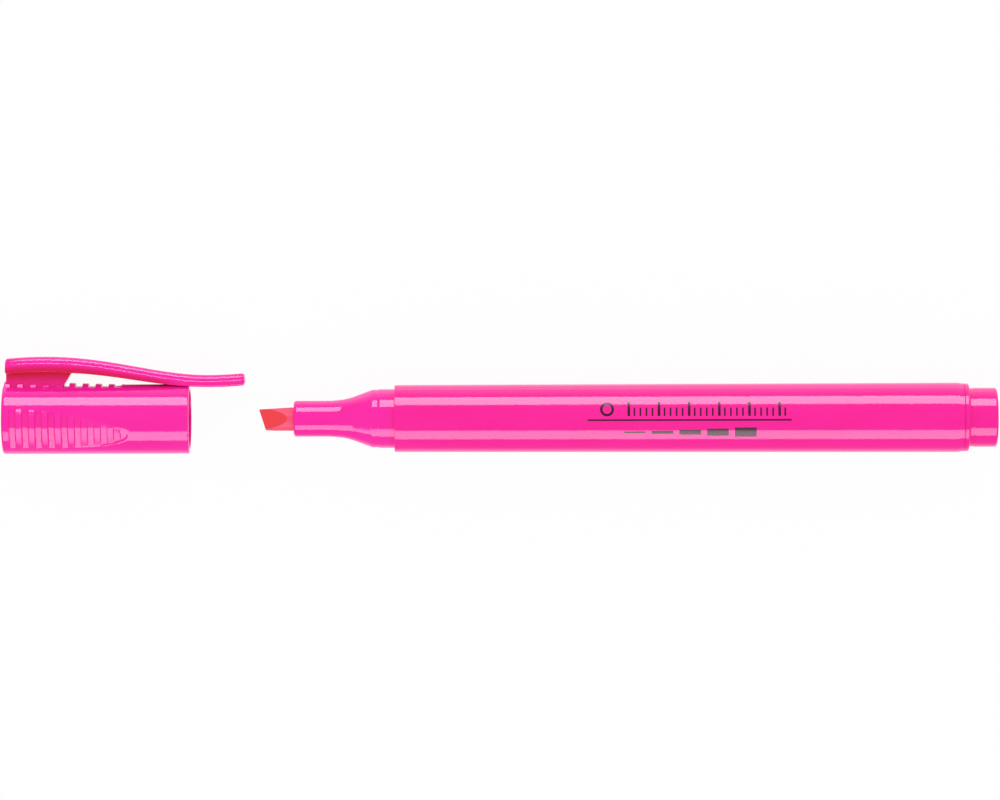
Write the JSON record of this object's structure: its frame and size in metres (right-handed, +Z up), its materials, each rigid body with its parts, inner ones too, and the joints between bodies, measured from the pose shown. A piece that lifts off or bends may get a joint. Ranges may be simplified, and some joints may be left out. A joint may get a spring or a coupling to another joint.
{
  "type": "highlighter pen",
  "caption": "Slim round highlighter with a chisel nib, its clip cap pulled off in line with the nose, and a rear post that takes the cap.",
  "frame": {"origin": "centre of the bounding box at the table it lies on, with the cap pulled off and laid in line with the nib", "axes": "+X runs along the pen from the cap to the rear plug, +Z is up from the table; the clip points to +Y and a little down, so that its edge rests on the table"},
  "size_m": [0.1656, 0.0162, 0.0116],
  "materials": {
    "barrel_pink": "smooth opaque fluorescent pink polypropylene",
    "cap_pink": "smooth opaque fluorescent pink polypropylene",
    "nose_pink": "smooth opaque fluorescent pink polypropylene",
    "inner_pink": "satin polypropylene",
    "nib_fibre": "ink-soaked sintered polyester fibre",
    "core_fibre": "ink-soaked bundled fibre",
    "clear_film": "thin wrapped film, stained by the ink",
    "print_ink": "dark pad-printed ink on the barrel; it belongs to the printed marks of the visual model"
  },
  "bodies": {
    "pen": {"barrel": "barrel_pink", "nose_section": "nose_pink", "chisel_nib": "nib_fibre", "ink_core": "core_fibre", "core_film": "clear_film", "end_plug": "barrel_pink"},
    "cap": {"cap_shell": "cap_pink", "seal_cup": "inner_pink"},
    "clip": {"clip_arm": "cap_pink"}
  },
  "joints": [
    {"name": "cap_slide", "type": "slide", "parent": "pen", "child": "cap", "axis": [1, 0, 0], "range_m": [0, 0.0341]},
    {"name": "clip_flex", "type": "hinge", "parent": "cap", "child": "clip", "pos_m": [-0.07136, 0.00734, 0.00229], "axis": [0, 0.3418, 0.9398], "range_deg": [0, 6], "stiffness_Nm_per_rad": 0.6}
  ]
}
